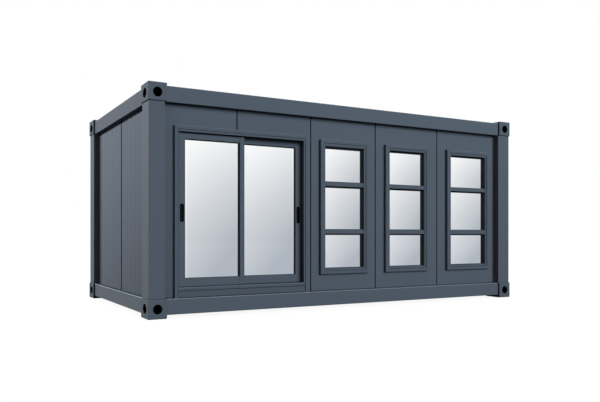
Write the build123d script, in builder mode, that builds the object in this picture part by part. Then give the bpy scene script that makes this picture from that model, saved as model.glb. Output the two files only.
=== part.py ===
"""A cabin of the container kind: a folded steel frame with eight corner castings, infilled with
sandwich panels, with a two-sash sliding glass door and three tall windows in its front.

Millimetres. The origin is on the ground under the middle of the cabin, the front faces -Y, +Z is up.
Places in the front wall are measured from the cabin's left end, and depths from the castings' outer faces.
"""
import os

from build123d import *

os.makedirs("parts", exist_ok=True)

# Overall size, over the corner castings
length = 6055
width = 2990
height = 2800

# How far each cut runs past the faces that it opens
overrun = 10

# Corner castings: hollow blocks with a round lifting hole in each outward face
casting_length = 238
casting_depth = 274
casting_wall = 25
casting_bevel = 8
lifting_hole = 118
hole_height = 118

# Rails: folded steel sheet between the castings, with a gutter along the top ones
rail_setback = 25
rail_sheet = 5
rail_bend = 8
rail_depth = 160
top_rail_height = 194
top_rail_drop = 29
gutter_cap = 60
gutter_lip = 25
gutter_gap = 25
bottom_rail_height = 190
bottom_rail_lift = 42
bottom_flange = 60
floor_lip = 40

# Corner posts: folded steel sheet, closed by the wall panels behind their returns; all are wider along
# the ends, and those at the right also along the front and the back
post_setback = 12
post_face = 203
right_post_face = 238
end_post_face = 248
post_sheet = 5
post_bend = 8

# Wall panels: sandwich boards with a rebated seam between neighbours
wall_setback = 100
panel_thickness = 75
seam_width = 16
seam_depth = 14
end_panel_count = 2
back_panel_count = 5

# Floor and roof
floor_thickness = 20
floor_gap = 3
joist_width = 60
joist_height = 100
joist_sheet = 4
joist_pitch = 600
roof_thickness = 95
roof_gap = 3
roof_rib_height = 35
roof_rib_base = 95
roof_rib_slope = 60
roof_rib_pitch = 300

# Mouldings round the door and the windows
trim_proud = 40
trim_step = 8
trim_bevel = 6
inner_trim = 12

# Sliding door: clear opening, frame and threshold
door_left = 419
door_width = 1773
over_door = 319
door_band = 43
door_lip = 22
door_jamb = 45
door_front_wall = 17
door_back_wall = 14
door_side_strip = 83
over_door_seam = 1209
sill_setback = 85
nose_front = 66
nose_low = 320
nose_top = 362
nose_round = 5
track_top = 352
shelf_low = 300
rib_width = 6

# Sashes: two glazed leaves on rollers, the left one in the outer track, that meet left of the middle
sash_thickness = 46
sash_gap = 14
sash_clearance = 5
sash_grip = 12
sash_lift = 6
sash_stile = 92
meeting_stile = 60
meeting_offset = 30
sash_top_rail = 102
sash_bottom_rail = 101
sash_glass_recess = 20
glass_thickness = 16

# Flush pulls
pull_height = 226
pull_width = 54
pull_centre_height = 1264
pull_proud = 3
pull_bevel = 1.5
pull_depth = 18
pull_rim = 4
pull_wall = 3
pull_clearance = 0.5

# Rollers under the sashes, grooved to run on the track ribs
roller_inset = 150
roller_tread = 14
roller_flange = 17
roller_width = 11
roller_axle = 4
roller_seat = 0.3
roller_groove = 16
roller_headroom = 3
rib_clearance = 0.5

# Windows: three, each divided into three lights, with a strip of its panel left at both sides
window_1_left = 139
window_1_right = 145
window_2_left = 160
window_2_right = 198
window_3_left = 177
window_3_right = 150
window_low = 460
over_window = 282
window_band = 46
window_lip = 32
window_jamb = 45
window_glass_recess = 54
window_bar = 52
lower_light_share = 0.303
middle_light_share = 0.382
window_panel_1_share = 0.3145
window_panel_2_share = 0.3364

# Levels and depths worked out from the sizes above
wall_low = bottom_rail_lift + bottom_rail_height
wall_high = height - top_rail_drop - top_rail_height
wall_inside = wall_setback + panel_thickness
floor_top = wall_low + floor_thickness
rail_top = height - top_rail_drop
post_end = post_setback + post_face
right_post_end = post_setback + right_post_face
end_post_end = post_setback + end_post_face
roof_low = wall_high + rail_sheet
roof_margin = rail_setback + gutter_cap + gutter_gap
trim_front = wall_setback - trim_proud
lip_front = trim_front + trim_step
trim_back = wall_inside + inner_trim
door_right = door_left + door_width
door_head = wall_high - over_door
door_trim = door_band + door_lip
outer_sash_front = lip_front + door_front_wall + sash_clearance
inner_sash_front = outer_sash_front + sash_thickness + sash_gap
door_back = inner_sash_front + sash_thickness + sash_clearance + door_back_wall
channel_depth = sash_grip + sash_clearance
half_run = (door_width + 2 * sash_grip + meeting_stile) / 2
left_sash_width = half_run - meeting_offset
right_sash_width = half_run + meeting_offset
sash_low = nose_top + sash_lift
sash_high = door_head + sash_grip
left_sash_start = door_left - sash_grip
right_sash_start = door_right + sash_grip - right_sash_width
roller_centre = nose_top + roller_seat + roller_tread
window_trim = window_band + window_lip
window_height = wall_high - over_window - window_low
seam_1 = door_right + door_jamb + door_side_strip
windows_end = length - right_post_end
window_run = windows_end - seam_1
seam_2 = seam_1 + window_run * window_panel_1_share
seam_3 = seam_2 + window_run * window_panel_2_share
front_end = length - wall_setback
window_spans = [
    (seam_1 + window_1_left, seam_2 - window_1_right),
    (seam_2 + window_2_left, seam_3 - window_2_right),
    (seam_3 + window_3_left, windows_end - window_3_right),
]

# Plan of each side: x along the side, anticlockwise round the cabin, and y inwards from its castings
side_plans = {
    "front": Plane((-length / 2, -width / 2, 0), (1, 0, 0), (0, 0, 1)),
    "right": Plane((length / 2, -width / 2, 0), (0, 1, 0), (0, 0, 1)),
    "back": Plane((length / 2, width / 2, 0), (-1, 0, 0), (0, 0, 1)),
    "left": Plane((-length / 2, width / 2, 0), (0, -1, 0), (0, 0, 1)),
}
side_spans = {"front": length, "right": width, "back": length, "left": width}
side_castings = {
    "front": casting_length, "right": casting_depth, "back": casting_length, "left": casting_depth
}


def section(side):
    """The plane across one side's start: x inwards, y up, facing along the side."""
    plan = side_plans[side]
    return Plane(plan.origin, plan.y_dir, plan.x_dir)


def elevation(depth):
    """The front wall seen from outside, at a depth: x from the left end, y up, facing out."""
    return Plane((-length / 2, depth - width / 2, 0), (1, 0, 0), (0, -1, 0))


def area(start, low, end, high, mode=Mode.ADD):
    """A rectangle between two corners, in the sketch that is open."""
    with Locations(((start + end) / 2, (low + high) / 2)):
        Rectangle(end - start, high - low, mode=mode)


def save(part, name):
    """Label one sub-part and write its STEP file."""
    part.label = name
    export_step(part, f"parts/{name}.step")


def corner_castings(low, high, outer_level, hole_level):
    """Four hollow blocks with holes through their two outward sides and the face at outer_level."""
    along = length - casting_length
    across = width - casting_depth
    corners = GridLocations(along, across, 2, 2)
    with BuildPart() as castings:
        with BuildSketch(Plane.XY.offset(low)):
            with corners:
                Rectangle(casting_length, casting_depth)
        extrude(amount=high - low)
        chamfer(castings.edges(), casting_bevel)
        with BuildSketch(Plane.XY.offset(low + casting_wall)):
            with corners:
                Rectangle(casting_length - 2 * casting_wall, casting_depth - 2 * casting_wall)
        extrude(amount=high - low - 2 * casting_wall, mode=Mode.SUBTRACT)
        with BuildSketch(Plane.XY.offset(outer_level)):
            with corners:
                Circle(lifting_hole / 2)
        extrude(amount=casting_wall + overrun, both=True, mode=Mode.SUBTRACT)
        for facing, reach, spread in ((Plane.XZ, width, along), (Plane.YZ, length, across)):
            for end in (-reach / 2, reach / 2):
                with BuildSketch(facing.offset(end)):
                    with Locations((0, hole_level)):
                        with GridLocations(spread, 0, 2, 1):
                            Circle(lifting_hole / 2)
                extrude(amount=casting_wall + overrun, both=True, mode=Mode.SUBTRACT)
    return castings.part


save(corner_castings(0, wall_low, 0, hole_height), "bottom_corner_castings")
save(corner_castings(wall_high, height, height, height - hole_height), "top_corner_castings")


def folded_rails(sides, path):
    """Sheet folded along a path of depths and heights, from casting to casting on each side."""
    with BuildPart() as rails:
        for side in sides:
            with BuildSketch(section(side).offset(side_castings[side])):
                with BuildLine():
                    FilletPolyline(path, radius=rail_bend)
                    offset(amount=rail_sheet, side=Side.LEFT)
                make_face()
            extrude(amount=side_spans[side] - 2 * side_castings[side])
    return rails.part


gutter_depth = rail_setback + gutter_cap
flange_depth = rail_setback + rail_depth
top_rail_path = [
    (gutter_depth, rail_top - gutter_lip),
    (gutter_depth, rail_top),
    (rail_setback, rail_top),
    (rail_setback, wall_high),
    (flange_depth, wall_high),
]
bottom_rail_path = [
    (flange_depth, wall_low - floor_lip),
    (flange_depth, wall_low),
    (rail_setback, wall_low),
    (rail_setback, bottom_rail_lift),
    (rail_setback + bottom_flange, bottom_rail_lift),
]
for level, rail_path in (("top", top_rail_path), ("bottom", bottom_rail_path)):
    save(folded_rails(["front"], rail_path), f"front_{level}_rail")
    save(folded_rails(["back"], rail_path), f"back_{level}_rail")
    save(folded_rails(["left", "right"], rail_path), f"end_{level}_rails")


def corner_post(side, along_end, across_end):
    """Sheet folded round the corner at one side's start, with returns that meet the wall panels."""
    with BuildPart() as post:
        with BuildSketch(side_plans[side].offset(wall_low)):
            with BuildLine():
                FilletPolyline(
                    (along_end, wall_setback),
                    (along_end, post_setback),
                    (post_setback, post_setback),
                    (post_setback, across_end),
                    (wall_setback, across_end),
                    radius=post_bend,
                )
                offset(amount=post_sheet, side=Side.RIGHT)
            make_face()
        extrude(amount=wall_high - wall_low)
    return post.part


save(corner_post("front", post_end, end_post_end), "front_left_post")
save(corner_post("right", end_post_end, right_post_end), "front_right_post")
save(corner_post("back", right_post_end, end_post_end), "back_right_post")
save(corner_post("left", end_post_end, post_end), "back_left_post")


def wall_panel(side, start, end, seams, low=wall_low):
    """A board standing in one side's wall, with its outer face rebated at each of its seams."""
    with BuildPart() as panel:
        with BuildSketch(side_plans[side].offset(low)):
            area(start, wall_setback, end, wall_inside)
            with Locations([(seam, wall_setback) for seam in seams]):
                Rectangle(seam_width, 2 * seam_depth, mode=Mode.SUBTRACT)
        extrude(amount=wall_high - low)
    return panel.part


def plain_panel(side, start, end):
    """A board with no seam and a flush face."""
    with BuildPart() as panel:
        with BuildSketch(side_plans[side].offset(wall_low)):
            area(start, wall_setback, end, wall_inside)
        extrude(amount=wall_high - wall_low)
    return panel.part


# Front wall: boards beside and over the doorway, then three boards with a window each
over_door_low = door_head + door_jamb
doorway_start = door_left - door_jamb
doorway_end = door_right + door_jamb
save(plain_panel("front", wall_setback, doorway_start), "front_panel_left")
save(
    wall_panel("front", doorway_start, over_door_seam, [over_door_seam], over_door_low),
    "front_panel_over_door_left",
)
save(
    wall_panel("front", over_door_seam, doorway_end, [over_door_seam], over_door_low),
    "front_panel_over_door_right",
)
save(wall_panel("front", doorway_end, seam_1, [seam_1]), "front_panel_right_of_door")


def window_panel(start, end, seams, span):
    """A front board with the opening that a window's jambs and head line."""
    inset = window_trim - window_jamb
    with BuildPart() as panel:
        add(wall_panel("front", start, end, seams))
        with BuildSketch(elevation(wall_inside + overrun)):
            area(
                span[0] + inset,
                window_low + inset,
                span[1] - inset,
                window_low + window_height - inset,
            )
        extrude(amount=panel_thickness + 2 * overrun, mode=Mode.SUBTRACT)
    return panel.part


save(window_panel(seam_1, seam_2, [seam_1, seam_2], window_spans[0]), "front_window_panel_1")
save(window_panel(seam_2, seam_3, [seam_2, seam_3], window_spans[1]), "front_window_panel_2")
save(window_panel(seam_3, front_end, [seam_3], window_spans[2]), "front_window_panel_3")


def plain_wall(side, first, last, count, names):
    """One side closed by boards of equal width between two places along it."""
    edges = [first + (last - first) * number / count for number in range(count + 1)]
    for number, name in enumerate(names):
        seams = [edge for edge in edges[number:number + 2] if first < edge < last]
        save(wall_panel(side, edges[number], edges[number + 1], seams), name)


end_last = width - wall_inside
plain_wall("left", wall_inside, end_last, end_panel_count, ["left_panel_back", "left_panel_front"])
plain_wall("right", wall_inside, end_last, end_panel_count, ["right_panel_front", "right_panel_back"])
back_names = [f"back_panel_{number + 1}" for number in range(back_panel_count)]
plain_wall("back", wall_setback, front_end, back_panel_count, back_names)

# Floor: a deck on hollow joists that hang between the lips of the long bottom rails
with BuildPart() as floor_deck:
    with BuildSketch(Plane.XY.offset(wall_low)):
        Rectangle(length - 2 * (wall_inside + floor_gap), width - 2 * (wall_inside + floor_gap))
    extrude(amount=floor_thickness)
save(floor_deck.part, "floor_deck")

joist_run = length - 2 * flange_depth
joist_count = int(joist_run // joist_pitch)
with BuildPart() as floor_joists:
    with BuildSketch(Plane.XZ):
        with Locations((0, wall_low - joist_height / 2)):
            with GridLocations(joist_run / joist_count, 0, joist_count, 1):
                Rectangle(joist_width, joist_height)
                Rectangle(
                    joist_width - 2 * joist_sheet, joist_height - 2 * joist_sheet, mode=Mode.SUBTRACT
                )
    extrude(amount=width / 2 - flange_depth, both=True)
save(floor_joists.part, "floor_joists")

# Roof: one insulated deck on the top rails' flanges, ribbed across, notched round the castings
notch_length = casting_length + roof_gap
notch_depth = casting_depth + roof_gap
rib_run = length - 2 * notch_length
rib_count = int(rib_run // roof_rib_pitch)
with BuildPart() as roof_deck:
    with BuildSketch(Plane.XY.offset(roof_low)):
        Rectangle(length - 2 * roof_margin, width - 2 * roof_margin)
        with GridLocations(length, width, 2, 2):
            Rectangle(2 * notch_length, 2 * notch_depth, mode=Mode.SUBTRACT)
    extrude(amount=roof_thickness)
    with BuildSketch(Plane.XZ):
        with Locations((0, roof_low + roof_thickness + roof_rib_height / 2)):
            with GridLocations(rib_run / rib_count, 0, rib_count, 1):
                Trapezoid(roof_rib_base, roof_rib_height, roof_rib_slope)
    extrude(amount=width / 2 - roof_margin, both=True)
save(roof_deck.part, "roof_deck")

# Door frame: an outer moulding, a lining with two channels, and a moulding inside, mitred at the corners
with BuildPart() as door_frame:
    with BuildSketch(elevation(wall_setback)):
        area(door_left - door_trim, wall_low, door_right + door_trim, door_head + door_trim)
    extrude(amount=trim_proud)
    moulding_face = door_frame.faces().sort_by(Axis.Y)[0]
    chamfer(moulding_face.edges().sort_by(Axis.Z)[1:], trim_bevel)
    with BuildSketch(elevation(wall_inside)):
        area(door_left - door_jamb, wall_low, door_right + door_jamb, door_head + door_jamb)
    extrude(amount=wall_inside - lip_front)
    with BuildSketch(elevation(door_back)):
        area(door_left - door_jamb, floor_top, door_right + door_jamb, door_head + door_jamb)
    extrude(amount=door_back - wall_inside)
    with BuildSketch(elevation(trim_back)):
        area(door_left - door_trim, floor_top, door_right + door_trim, door_head + door_trim)
    extrude(amount=inner_trim)
    with BuildSketch(elevation(lip_front)):
        area(door_left - door_lip, wall_low, door_right + door_lip, door_head + door_lip)
    extrude(amount=trim_step, mode=Mode.SUBTRACT)
    with BuildSketch(elevation(door_back)):
        area(door_left, wall_low, door_right, door_head)
    extrude(amount=door_back - trim_front, mode=Mode.SUBTRACT)
    for sash_front in (outer_sash_front, inner_sash_front):
        with BuildSketch(elevation(sash_front + sash_thickness + sash_clearance)):
            area(
                door_left - channel_depth,
                track_top,
                door_right + channel_depth,
                door_head + channel_depth,
            )
        extrude(amount=sash_thickness + 2 * sash_clearance, mode=Mode.SUBTRACT)

with BuildPart() as door_head_frame:
    add(door_frame.part)
    for corner, outwards in ((door_left, -1), (door_right, 1)):
        mitre_foot = (corner - length / 2, -width / 2, door_head)
        split(bisect_by=Plane(mitre_foot, (0, 1, 0), (-outwards, 0, 1)), keep=Keep.TOP)
save(door_head_frame.part, "door_head")

with BuildPart() as door_jambs:
    add(door_frame.part)
    add(door_head_frame.part, mode=Mode.SUBTRACT)
save(door_jambs.part, "door_jambs")

# Threshold: a sill on the bottom rail with a nose in front and a rib under each sash
with BuildPart() as door_threshold:
    with BuildSketch(section("front").offset(door_left)) as threshold_section:
        area(sill_setback, wall_low, wall_inside, track_top)
        area(wall_inside, shelf_low, door_back, track_top)
        area(nose_front, nose_low, outer_sash_front - sash_clearance, nose_top)
        area(door_back - door_back_wall, track_top, door_back, nose_top)
        for sash_front in (outer_sash_front, inner_sash_front):
            with Locations((sash_front + sash_thickness / 2, (track_top + nose_top) / 2)):
                Rectangle(rib_width, nose_top - track_top)
        fillet(threshold_section.vertices().group_by(Axis.Y)[0], nose_round)
    extrude(amount=door_width)
save(door_threshold.part, "door_threshold")


def sash_frame(start, end, front, light_start, light_end, pull_centre):
    """A sash with its light cut through, a roller groove below and a pocket for its pull."""
    with BuildPart() as sash:
        with BuildSketch(elevation(front + sash_thickness)):
            area(start, sash_low, end, sash_high)
            area(
                light_start,
                sash_low + sash_bottom_rail,
                light_end,
                sash_high - sash_top_rail,
                Mode.SUBTRACT,
            )
        extrude(amount=sash_thickness)
        with BuildSketch(section("front").offset(start)):
            middle = front + sash_thickness / 2
            groove_top = roller_centre + roller_flange + roller_headroom
            area(middle - roller_groove / 2, sash_low, middle + roller_groove / 2, groove_top)
        extrude(amount=end - start, mode=Mode.SUBTRACT)
        with BuildSketch(elevation(front + pull_depth + pull_clearance)):
            with Locations((pull_centre, pull_centre_height)):
                SlotOverall(pull_height - 2 * pull_rim, pull_width - 2 * pull_rim, rotation=90)
        extrude(amount=pull_depth + pull_clearance, mode=Mode.SUBTRACT)
    return sash.part


def sash_glass(front, light_start, light_end):
    """The pane that fills a sash's light."""
    with BuildPart() as glass:
        with BuildSketch(elevation(front + sash_glass_recess + glass_thickness)):
            area(light_start, sash_low + sash_bottom_rail, light_end, sash_high - sash_top_rail)
        extrude(amount=glass_thickness)
    return glass.part


def flush_pull(front, pull_centre):
    """A dished pull: a rim on the stile's face and a cup in the stile's pocket."""
    cup_inset = pull_rim + pull_clearance
    well_inset = cup_inset + pull_wall
    with BuildPart() as pull:
        with BuildSketch(elevation(front)):
            with Locations((pull_centre, pull_centre_height)):
                SlotOverall(pull_height, pull_width, rotation=90)
        extrude(amount=pull_proud)
        chamfer(pull.faces().sort_by(Axis.Y)[0].edges(), pull_bevel)
        with BuildSketch(elevation(front + pull_depth)):
            with Locations((pull_centre, pull_centre_height)):
                SlotOverall(pull_height - 2 * cup_inset, pull_width - 2 * cup_inset, rotation=90)
        extrude(amount=pull_depth)
        with BuildSketch(elevation(front + pull_depth - pull_wall)):
            with Locations((pull_centre, pull_centre_height)):
                SlotOverall(pull_height - 2 * well_inset, pull_width - 2 * well_inset, rotation=90)
        extrude(amount=pull_depth - pull_wall + pull_proud, mode=Mode.SUBTRACT)
    return pull.part


def sash_rollers(start, end, front):
    """Two wheels grooved for the track rib, each turned in one with the axle across the sash's groove."""
    middle = front + sash_thickness / 2
    half_axle = roller_groove / 2
    half_wheel = roller_width / 2
    half_tread = rib_width / 2 + rib_clearance
    profile = [
        (middle - half_axle, roller_centre),
        (middle - half_axle, roller_centre + roller_axle),
        (middle - half_wheel, roller_centre + roller_axle),
        (middle - half_wheel, roller_centre + roller_flange),
        (middle - half_tread, roller_centre + roller_tread),
        (middle + half_tread, roller_centre + roller_tread),
        (middle + half_wheel, roller_centre + roller_flange),
        (middle + half_wheel, roller_centre + roller_axle),
        (middle + half_axle, roller_centre + roller_axle),
        (middle + half_axle, roller_centre),
    ]
    with BuildPart() as rollers:
        for place in (start + roller_inset, end - roller_inset):
            with BuildSketch(section("front").offset(place)):
                with BuildLine():
                    Polyline(profile, close=True)
                make_face()
            revolve(axis=Axis((place - length / 2, 0, roller_centre), (0, 1, 0)))
    return rollers.part


visible_stile = sash_stile - sash_grip
left_sash_end = left_sash_start + left_sash_width
right_sash_end = right_sash_start + right_sash_width
sashes = {
    "left": (
        left_sash_start,
        left_sash_end,
        outer_sash_front,
        left_sash_start + sash_stile,
        left_sash_end - meeting_stile,
        door_left + visible_stile / 2,
    ),
    "right": (
        right_sash_start,
        right_sash_end,
        inner_sash_front,
        right_sash_start + meeting_stile,
        right_sash_end - sash_stile,
        door_right - visible_stile / 2,
    ),
}
for hand, (start, end, front, light_start, light_end, pull_centre) in sashes.items():
    save(sash_frame(start, end, front, light_start, light_end, pull_centre), f"{hand}_sash_frame")
    save(sash_glass(front, light_start, light_end), f"{hand}_sash_glass")
    save(flush_pull(front, pull_centre), f"{hand}_sash_pull")
    save(sash_rollers(start, end, front), f"{hand}_sash_rollers")

# Windows: the levels of the three lights, from the bottom up
light_low = window_low + window_trim
light_high = window_low + window_height - window_trim
light_run = light_high - light_low - 2 * window_bar
lower_bar = light_low + light_run * lower_light_share
upper_bar = lower_bar + window_bar + light_run * middle_light_share
lights = [
    (light_low, lower_bar),
    (lower_bar + window_bar, upper_bar),
    (upper_bar + window_bar, light_high),
]


def window_frame(start, end):
    """A bevelled moulding, a jamb lining with two cross bars, and a moulding inside."""
    high = window_low + window_height
    inset = window_trim - window_jamb
    with BuildPart() as frame:
        with BuildSketch(elevation(wall_setback)):
            area(start, window_low, end, high)
        extrude(amount=trim_proud)
        chamfer(frame.faces().sort_by(Axis.Y)[0].edges(), trim_bevel)
        with BuildSketch(elevation(trim_back)):
            area(start, window_low, end, high)
        extrude(amount=inner_trim)
        with BuildSketch(elevation(wall_inside)):
            area(start + inset, window_low + inset, end - inset, high - inset)
        extrude(amount=panel_thickness)
        with BuildSketch(elevation(lip_front)):
            area(start + window_band, window_low + window_band, end - window_band, high - window_band)
        extrude(amount=trim_step, mode=Mode.SUBTRACT)
        with BuildSketch(elevation(trim_back)):
            for low, top in lights:
                area(start + window_trim, low, end - window_trim, top)
        extrude(amount=trim_back - trim_front, mode=Mode.SUBTRACT)
    return frame.part


for number, (start, end) in enumerate(window_spans):
    save(window_frame(start, end), f"window_frame_{number + 1}")

with BuildPart() as window_panes:
    with BuildSketch(elevation(trim_front + window_glass_recess + glass_thickness)):
        for start, end in window_spans:
            for low, top in lights:
                area(start + window_trim, low, end - window_trim, top)
    extrude(amount=glass_thickness)
save(window_panes.part, "window_panes")
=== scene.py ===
"""Looks of the container cabin around its solids, in metres: the front faces -Y and +Z is up.

The sections follow the cabin as it is put together: castings, rails, posts, floor, walls, roof,
sliding door and windows, and then the studio that it stands in.
"""
import math

import bmesh
import bpy
import numpy as np
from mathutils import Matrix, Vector


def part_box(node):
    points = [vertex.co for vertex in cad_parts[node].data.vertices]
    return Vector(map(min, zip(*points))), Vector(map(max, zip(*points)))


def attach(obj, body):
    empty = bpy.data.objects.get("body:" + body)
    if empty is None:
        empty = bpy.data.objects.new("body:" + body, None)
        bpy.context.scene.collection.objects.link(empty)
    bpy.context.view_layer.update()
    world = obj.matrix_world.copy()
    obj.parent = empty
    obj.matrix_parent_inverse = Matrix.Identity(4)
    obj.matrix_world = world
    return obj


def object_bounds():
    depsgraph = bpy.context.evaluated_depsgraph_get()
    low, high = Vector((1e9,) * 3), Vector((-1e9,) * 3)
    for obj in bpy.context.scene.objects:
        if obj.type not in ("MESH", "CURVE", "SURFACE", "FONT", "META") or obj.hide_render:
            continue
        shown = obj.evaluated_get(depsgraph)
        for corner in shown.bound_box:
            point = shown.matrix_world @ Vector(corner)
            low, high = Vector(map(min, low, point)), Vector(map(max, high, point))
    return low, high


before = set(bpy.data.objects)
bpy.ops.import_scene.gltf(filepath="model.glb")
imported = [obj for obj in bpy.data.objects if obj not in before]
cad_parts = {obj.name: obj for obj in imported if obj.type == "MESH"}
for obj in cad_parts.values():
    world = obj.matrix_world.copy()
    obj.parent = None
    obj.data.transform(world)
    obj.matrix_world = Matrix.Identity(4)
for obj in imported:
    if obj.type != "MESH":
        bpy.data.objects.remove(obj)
cad_box = [list(corner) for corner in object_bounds()]

# Corner castings
# Eight hollow blocks of cast steel that close the frame's corners and take hooks and ground anchors.
# They are welded to the rails and sprayed slate with them; the paint wears first along their edges.


class Wire:
    """One socket of a finish. Operators between wires and numbers add Math nodes to that finish."""

    def __init__(self, finish, socket):
        self.finish = finish
        self.socket = socket

    def output(self, name):
        """Another output of the node that this wire comes from."""
        return Wire(self.finish, self.socket.node.outputs[name])

    def __add__(self, other):
        return self.finish.math("ADD", self, other)

    def __radd__(self, other):
        return self.finish.math("ADD", other, self)

    def __sub__(self, other):
        return self.finish.math("SUBTRACT", self, other)

    def __rsub__(self, other):
        return self.finish.math("SUBTRACT", other, self)

    def __mul__(self, other):
        return self.finish.math("MULTIPLY", self, other)

    def __rmul__(self, other):
        return self.finish.math("MULTIPLY", other, self)

    def __truediv__(self, other):
        return self.finish.math("DIVIDE", self, other)

    def __rtruediv__(self, other):
        return self.finish.math("DIVIDE", other, self)

    def __lt__(self, other):
        return self.finish.math("LESS_THAN", self, other)

    def __gt__(self, other):
        return self.finish.math("GREATER_THAN", self, other)

    def __abs__(self):
        return self.finish.math("ABSOLUTE", self)


class Finish:
    """The shader of a material or of the world, put together node by node."""

    def __init__(self, block):
        block.use_nodes = True
        block.node_tree.nodes.clear()
        self.block = block
        self.tree = block.node_tree

    def node(self, kind, settings, sockets, output=0):
        """Add a node of any type: its settings are set first, then its sockets' values or links."""
        made = self.tree.nodes.new("ShaderNode" + kind)
        for name, value in settings.items():
            setattr(made, name, value)
        for name, value in sockets.items():
            if isinstance(value, Wire):
                self.tree.links.new(value.socket, made.inputs[name])
            else:
                made.inputs[name].default_value = value
        return Wire(self, made.outputs[output]) if len(made.outputs) else None

    def math(self, operation, *values):
        """One Math node on one or more values."""
        return self.node("Math", {"operation": operation}, dict(enumerate(values)))

    def least(self, first, *others):
        """The least of two or more values."""
        for other in others:
            first = self.math("MINIMUM", first, other)
        return first

    def blend(self, factor, first, second):
        """A colour that goes from the first to the second as the factor goes from 0 to 1."""
        return self.node("Mix", {"data_type": "RGBA"}, {0: factor, 6: first, 7: second}, 2)

    def ease(self, value, start, end):
        """0 below start and 1 above end, with a smooth rise between them."""
        limits = {"Value": value, "From Min": start, "From Max": end}
        return self.node("MapRange", {"interpolation_type": "SMOOTHSTEP"}, limits)

    def place(self):
        """The point on the object, and its x, y and z."""
        where = self.node("TexCoord", {}, {}).output("Object")
        parts = self.node("SeparateXYZ", {}, {0: where})
        return where, parts, parts.output("Y"), parts.output("Z")

    def facing(self):
        """How far the surface faces along x, and how far up, from -1 to 1."""
        parts = self.node("SeparateXYZ", {}, {0: self.node("NewGeometry", {}, {}, "Normal")})
        return parts, parts.output("Z")

    def noise(self, where, scale, detail=2.0):
        """A cloudy value from 0 to 1, with a given number of clouds to the metre."""
        return self.node("TexNoise", {}, {"Vector": where, "Scale": scale, "Detail": detail})

    def stretched(self, where, x, y, z):
        """The point with its axes scaled, to draw a pattern out along one of them."""
        return self.node("Mapping", {"vector_type": "POINT"}, {"Vector": where, "Scale": (x, y, z)})

    def bump(self, height, depth):
        """A surface normal raised by a height of 0 to 1, times a depth in metres."""
        return self.node("Bump", {}, {"Strength": 1.0, "Distance": depth, "Height": height})

    def surface(self, **sockets):
        """Close the material with a Principled surface."""
        named = {name.replace("_", " ").title(): value for name, value in sockets.items()}
        if "Specular" in named:
            named["Specular IOR Level"] = named.pop("Specular")
        shader = self.node("BsdfPrincipled", {}, named)
        self.node("OutputMaterial", {}, {"Surface": shader})
        return self


def shade(red, green, blue):
    """A display colour of 0 to 255 as linear light, by the sRGB curve."""
    share = np.array([red, green, blue]) / 255
    linear = np.where(share <= 0.04045, share / 12.92, ((share + 0.055) / 1.055) ** 2.4)
    return (*linear.tolist(), 1.0)


def scaled(colour, factor):
    """The same colour, lighter or darker."""
    return (*(channel * factor for channel in colour[:3]), 1.0)


def dress(finish, *nodes):
    """Give solids of the frame a finish."""
    for name in nodes:
        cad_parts[name].material_slots[0].material = finish.block


half_length, half_width, height = cad_box[1]
slate = shade(77, 88, 100)
# A pale grey painted on faces turned to the ends as a sheen.
end_sheen_grey = shade(92, 99, 108)
bare_edge = shade(112, 120, 129)
# A pale slate painted on upward folds as a highlight.
highlight_pale = shade(150, 161, 174)
# Black painted as shade.
shade_black = shade(9, 10, 11)
paint_gloss = 0.03
ledge_high = 0.3


def slate_coat(finish, where, x, z, clouds, tone=1.0):
    """Slate with faint clouds, and painted light that makes it a little paler towards the top of the cabin,
    and there to the right.
    """
    cloud = finish.noise(where, clouds, 3.0)
    low = finish.blend(cloud, scaled(slate, 0.9 * tone), scaled(slate, 0.98 * tone))
    high = finish.blend(cloud, scaled(slate, 1.1 * tone), scaled(slate, 1.19 * tone))
    return cloud, finish.blend(z / height * (0.7 + 0.3 * x / half_length), low, high)


def sloped(finish, upwards):
    """1 where a face slopes upwards, fading out where it is upright or level."""
    return finish.ease(upwards, 0.15, 0.5) * (1.0 - finish.ease(upwards, 0.85, 0.99))


def painted_light_and_shade(finish, paint, z, highlight_share, sheen_low, sheen_high):
    """The coat with painted light and shade.

    Faces turned to the ends are painted a pale grey as a sheen, scaled by a factor at the cabin's foot and
    another at its top, as painted light. Folds that slope upwards are painted pale as a highlight, by a
    given share; low ledges are painted darker as shade, and undersides black as shade.
    """
    endwards, upwards = finish.facing()
    end_sheen_paint = finish.blend(z / height, scaled(end_sheen_grey, sheen_low), scaled(end_sheen_grey, sheen_high))
    paint = finish.blend(finish.ease(abs(endwards), 0.5, 0.95), paint, end_sheen_paint)
    dull, bright = scaled(highlight_pale, 0.75), scaled(highlight_pale, 1.3)
    fold_highlight = finish.blend(finish.ease(abs(endwards), 0.1, 0.4), dull, bright)
    paint = finish.blend(sloped(finish, upwards) * highlight_share, paint, fold_highlight)
    # Painted shade on low ledges, and black painted shade on undersides.
    ledge_shade = finish.ease(upwards, 0.85, 0.99) * (z < ledge_high)
    paint = finish.blend(ledge_shade, paint, scaled(slate, 0.55))
    return finish.blend(finish.ease(-1.0 * upwards, 0.6, 0.95) * 0.8, paint, shade_black)


def depth_from_outside(finish, x, y):
    """How far a point lies in from the nearest outer side of the cabin."""
    return finish.least(half_length - abs(x), half_width - abs(y))


casting_length, casting_depth = 0.238, 0.274
casting_wall = 0.025
casting_bevel = 0.008
hole_height = 0.118
oval_wide, oval_tall = 0.072, 0.06
oval_shift, oval_spread = 0.012, 0.018
weld_skin = 0.001
shade_near, shade_far = 0.026, 0.034
web_gap, web_thickness = 0.002, 0.008


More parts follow.
